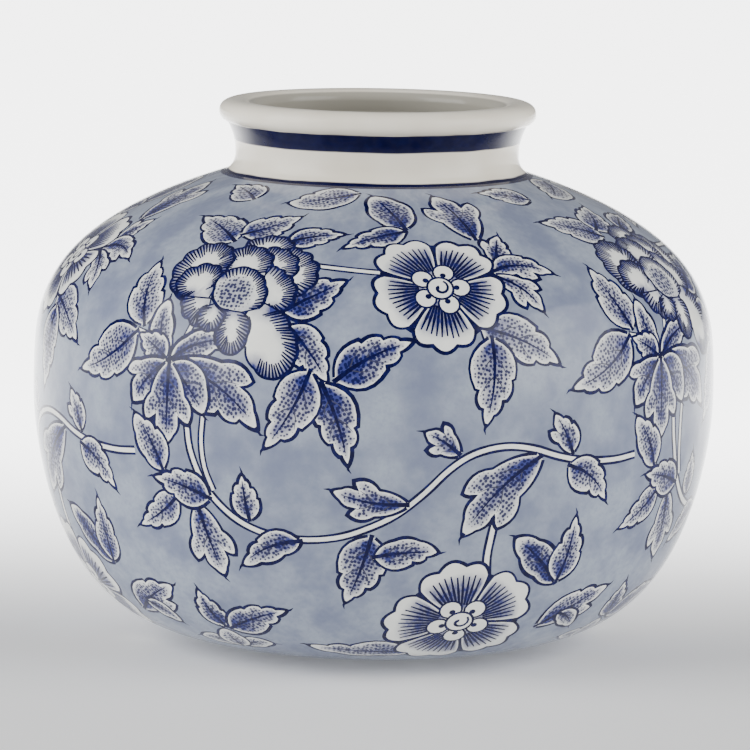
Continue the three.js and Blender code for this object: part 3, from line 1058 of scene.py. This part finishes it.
def inset(z):
    """The wall's inner face, a wall thickness in from the outer face at each height."""
    r, normal_r, normal_z = (np.interp(z, HEIGHT, found) for found in (RADIUS, NORMAL_R, NORMAL_Z))
    size = np.hypot(normal_r, normal_z)
    return np.stack([r - WALL * normal_r / size, z - WALL * normal_z / size], -1)


def neck_radius(z):
    rise = z - NECK_FOOT
    if rise < NECK_WAIST_RISE:
        flare = NECK_ROOT_RADIUS - NECK_WAIST_RADIUS
        return NECK_WAIST_RADIUS + flare * (1 - max(rise, 0) / NECK_WAIST_RISE) ** NECK_FOOT_POWER
    share = (rise - NECK_WAIST_RISE) / (NECK_TOP - NECK_FOOT - NECK_WAIST_RISE)
    return NECK_WAIST_RADIUS + (NECK_TOP_RADIUS - NECK_WAIST_RADIUS) * share**NECK_FLARE_POWER


def lip_outline():
    """The rolled lip, from the top of the neck over to the mouth."""
    half_width = LIP_WIDTH / 2
    centre = NECK_TOP_RADIUS + LIP_OVERHANG - half_width
    start = -math.asin((1 - ((NECK_TOP_RADIUS - centre) / half_width) ** LIP_POWER) ** 0.5)
    drop = abs(math.sin(start)) ** (2 / LIP_POWER)
    half_height = (TOP - NECK_TOP) / (1 + drop)
    points = []
    for step in range(LIP_ROWS + 1):
        angle = start + (math.pi - start) * step / LIP_ROWS
        across = math.copysign(abs(math.cos(angle)) ** (2 / LIP_POWER), math.cos(angle))
        up = math.copysign(abs(math.sin(angle)) ** (2 / LIP_POWER), math.sin(angle))
        points.append((centre + half_width * across, NECK_TOP + half_height * (drop + up)))
    return points


def build():
    draw_quarter()
    quarter = Quarter()
    painted, white, bare = painted_glaze(), white_glaze(), biscuit()
    step_radius = BELLY_RADIUS - WALL / 2
    step_inner = float(body_radius(STEP_TOP)) - WALL
    opening = NECK_BORE + SPIGOT_WALL + SLIP_GAP
    foot_inner = FOOT_RADIUS - FOOT_WIDTH
    lap_height = (FOOT_HEIGHT + FLOOR_TOP) / 2
    # The shoulder's inner face, from the neck's opening down to the belly seam.
    heights = np.linspace(NECK_FOOT - 0.5, STEP_TOP + 2, SHOULDER_ROWS)
    ceiling = [tuple(p) for p in inset(heights) if p[0] > opening + 1]
    shoulder = [(opening, NECK_FOOT), (opening, NECK_FOOT - SPIGOT_DEPTH), *ceiling,
                (step_inner, STEP_TOP + SLIP_GAP), (step_radius + SLIP_GAP / 2, STEP_TOP + SLIP_GAP),
                (step_radius + SLIP_GAP / 2, BELLY_HEIGHT)]
    painted_piece("painted_shoulder", "upper_shoulder", painted, quarter, True, shoulder)
    # The bowl's inner face, from the seam's step down to the rebate for the foot ring.
    turns = np.linspace(0, math.pi / 2, BOWL_ROWS)[:-1]
    heights = BELLY_HEIGHT - BOWL_DEPTH * np.sin(turns) ** (2 / BOWL_UP)
    hollow = [tuple(p) for p in inset(heights) if p[1] > FLOOR_TOP + 0.4]
    bowl = [(step_radius - SLIP_GAP / 2, BELLY_HEIGHT), (step_radius - SLIP_GAP / 2, STEP_TOP),
            (step_inner, STEP_TOP), *hollow, (hollow[-1][0] - FLOOR_BEVEL, FLOOR_TOP),
            (foot_inner, FLOOR_TOP), (foot_inner, lap_height), (foot_inner + FLOOR_LAP, lap_height),
            (foot_inner + FLOOR_LAP, FOOT_HEIGHT), (FOOT_RADIUS, FOOT_HEIGHT)]
    painted_piece("painted_bowl", "lower_bowl", painted, quarter, False, bowl)
    # The neck, its spigot and the tongue under the lip.
    tongue = (NECK_BORE + NECK_TOP_RADIUS) / 2
    tongue_in, tongue_out = tongue - TONGUE_HALF, tongue + TONGUE_HALF
    tongue_top = NECK_TOP + TONGUE_HEIGHT
    outer = [(neck_radius(z), z) for z in np.linspace(NECK_FOOT, NECK_TOP, NECK_ROWS)]
    neck = [*outer, (tongue_out, NECK_TOP), (tongue_out, tongue_top), (tongue_in, tongue_top),
            (tongue_in, NECK_TOP), (NECK_BORE, NECK_TOP), (NECK_BORE, NECK_FOOT - SPIGOT_DEPTH),
            (opening - SLIP_GAP, NECK_FOOT - SPIGOT_DEPTH), (opening - SLIP_GAP, NECK_FOOT)]
    turned_piece("neck", "neck_collar", white, neck)
    # The lip, with a groove for the tongue.
    groove_in, groove_out = tongue_in - GROOVE_GAP, tongue_out + GROOVE_GAP
    groove_top = tongue_top + GROOVE_GAP
    lip = [*lip_outline(), (NECK_BORE, NECK_TOP), (groove_in, NECK_TOP), (groove_in, groove_top),
           (groove_out, groove_top), (groove_out, NECK_TOP)]
    turned_piece("lip", "lip_ring", white, lip)
    # The foot ring, rounded where it stands.
    corner = [math.pi / 2 * step / CORNER_ROWS for step in range(CORNER_ROWS + 1)]
    foot = [(FOOT_RADIUS, FOOT_HEIGHT), (foot_inner, FOOT_HEIGHT)]
    foot += [(foot_inner + FOOT_EDGE * (1 - math.cos(a)), FOOT_EDGE * (1 - math.sin(a))) for a in corner]
    foot += [(FOOT_RADIUS - FOOT_EDGE * (1 - math.sin(a)), FOOT_EDGE * (1 - math.cos(a))) for a in corner]
    turned_piece("foot", "foot_ring", bare, foot)
    # The floor disc, with a rim that laps under the bowl.
    disc_edge, rim_edge = foot_inner - FLOOR_GAP, foot_inner + FLOOR_LAP - FLOOR_GAP
    rim_bottom, rim_top = FOOT_HEIGHT + FLOOR_GAP, lap_height - FLOOR_GAP
    floor = [(0, FLOOR_UNDERSIDE), (disc_edge, FLOOR_UNDERSIDE), (disc_edge, rim_bottom),
             (rim_edge, rim_bottom), (rim_edge, rim_top), (disc_edge, rim_top), (disc_edge, FLOOR_TOP),
             (0, FLOOR_TOP)]
    turned_piece("floor_disc", "base_floor", white, floor)


# ---- the studio

# Lengths here are in metres. The floor glows more the further it is behind the vase, and less
# to its sides: where the change starts and ends, and the strength or the share at each end.
FLOOR_SIZE = 30
GLOW_BEHIND = (-0.05, 0.55, 0.15, 4.8)
GLOW_BESIDE = (0.4, 0.9, 1.0, 0.45)
FLOOR_ROUGHNESS = 0.7
WORLD_LIGHT = 0.3
SOFTBOX_OUT, SOFTBOX_FRONT, SOFTBOX_UP, SOFTBOX_SIZE = 2.2, -0.9, 0.8, (2.0, 2.6)
SOFTBOX_AIM = (0, 0, 0.1)
SOFTBOXES = (("left", -1, 102), ("right", 1, 80))
CAMERA_ELEVATION, CAMERA_ROLL = math.radians(8), math.radians(0.9)
CAMERA_REACH = 15  # belly radii
CAMERA_AIM = (0.0005, 0, 0.0964)
CAMERA_LENS, SENSOR_WIDTH = 244.3, 36


def set_stage():
    bpy.ops.mesh.primitive_plane_add(size=FLOOR_SIZE, location=(0, 0, 0))
    floor = bpy.context.object
    floor.name = "studio_floor"
    backdrop = Nodes("studio_floor")
    backdrop.set("Base Color", FLOOR_GREY)
    backdrop.set("Roughness", FLOOR_ROUGHNESS)
    backdrop.set("Emission Color", (1.0, 1.0, 1.0, 1.0))
    x, y, _ = backdrop.split(backdrop.add("TexCoord").outputs["Object"])
    behind = backdrop.span(y, *GLOW_BEHIND)
    beside = backdrop.span(backdrop.math("ABSOLUTE", x), *GLOW_BESIDE)
    backdrop.set("Emission Strength", backdrop.math("MULTIPLY", behind, beside))
    floor.data.materials.append(backdrop.material)
    world = bpy.data.worlds.new("studio")
    world.use_nodes = True
    sky = world.node_tree.nodes["Background"]
    sky.inputs["Color"].default_value = (1, 1, 1, 1)
    sky.inputs["Strength"].default_value = WORLD_LIGHT
    bpy.context.scene.world = world


def add_softbox(name, side, power):
    light = bpy.data.lights.new(name, "AREA")
    light.shape, light.size, light.size_y = "RECTANGLE", *SOFTBOX_SIZE
    light.energy = power
    lamp = bpy.data.objects.new(name, light)
    lamp.location = (side * SOFTBOX_OUT, SOFTBOX_FRONT, SOFTBOX_UP)
    lamp.rotation_euler = (Vector(SOFTBOX_AIM) - lamp.location).to_track_quat("-Z", "Y").to_euler()
    bpy.context.collection.objects.link(lamp)


def add_camera():
    away = Vector((0, -math.cos(CAMERA_ELEVATION), math.sin(CAMERA_ELEVATION)))
    data = bpy.data.cameras.new("view")
    data.lens = CAMERA_LENS
    data.sensor_width = SENSOR_WIDTH
    camera = bpy.data.objects.new("view", data)
    camera.location = Vector(CAMERA_AIM) + away * (CAMERA_REACH * BELLY_RADIUS * MM)
    facing = away.to_track_quat("Z", "Y").to_matrix()
    camera.rotation_euler = (facing @ Matrix.Rotation(CAMERA_ROLL, 3, "Z")).to_euler()
    bpy.context.collection.objects.link(camera)
    bpy.context.scene.camera = camera


build()
set_stage()
for softbox in SOFTBOXES:
    add_softbox(*softbox)
add_camera()
